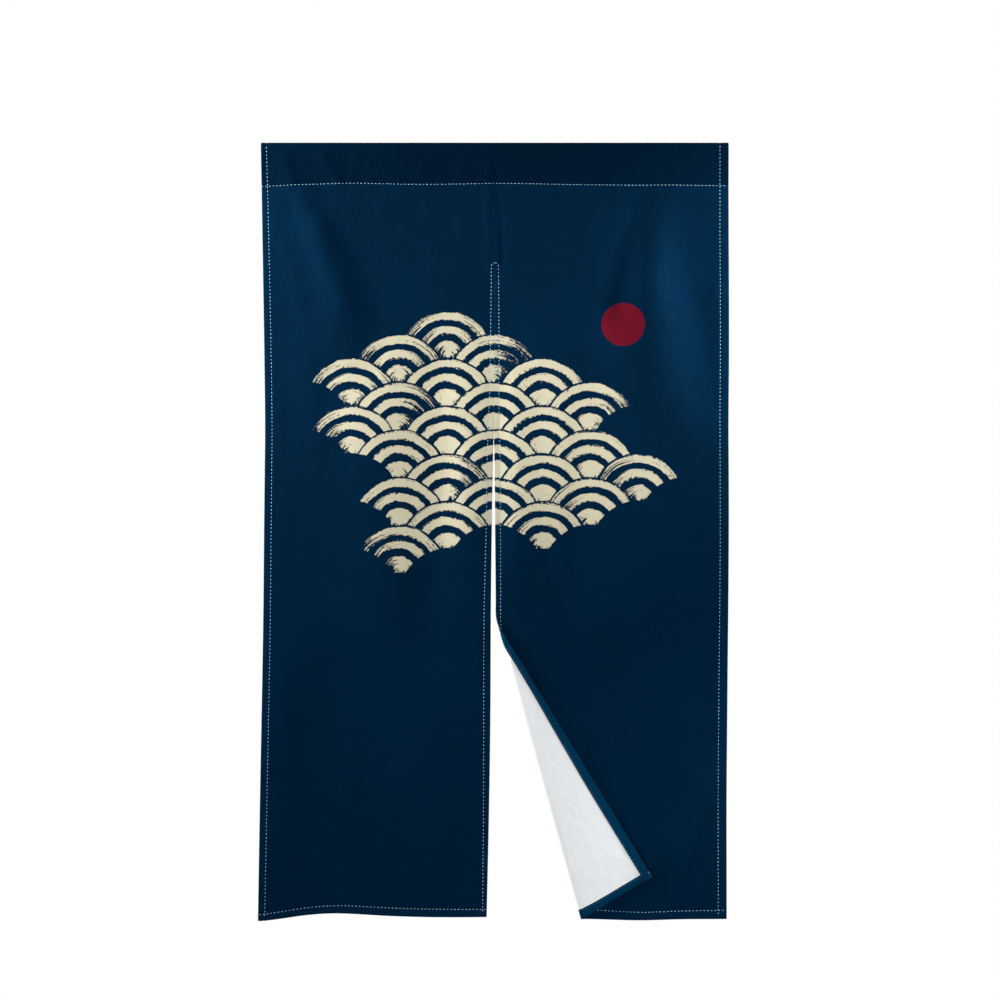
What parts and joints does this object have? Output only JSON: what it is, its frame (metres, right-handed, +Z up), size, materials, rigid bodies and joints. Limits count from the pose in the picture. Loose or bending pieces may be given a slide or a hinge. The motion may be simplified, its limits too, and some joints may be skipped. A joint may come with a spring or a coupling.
{
  "type": "noren curtain",
  "caption": "Split doorway curtain (noren) of printed cloth, with a sewn rod pocket, stitched hems and a lower corner of the slit folded forward to show its plain back.",
  "frame": {"origin": "middle of the top edge, on top of the rod pocket's round fold", "axes": "+X to the viewer's right, +Y away from the viewer who faces the printed side, +Z up; the cloth hangs down to z = -1.43 m"},
  "size_m": [0.8661, 0.0293, 1.4314],
  "materials": {
    "printed_cloth": "matt plain-weave cotton blend, printed navy on the front only, with cream print",
    "cloth_back": "matt unprinted white back of the same cloth",
    "sewing_thread": "pale blue-grey spun polyester thread"
  },
  "bodies": {
    "root": {"rod_pocket": "printed_cloth", "split_cloth": "printed_cloth"}
  },
  "joints": []
}
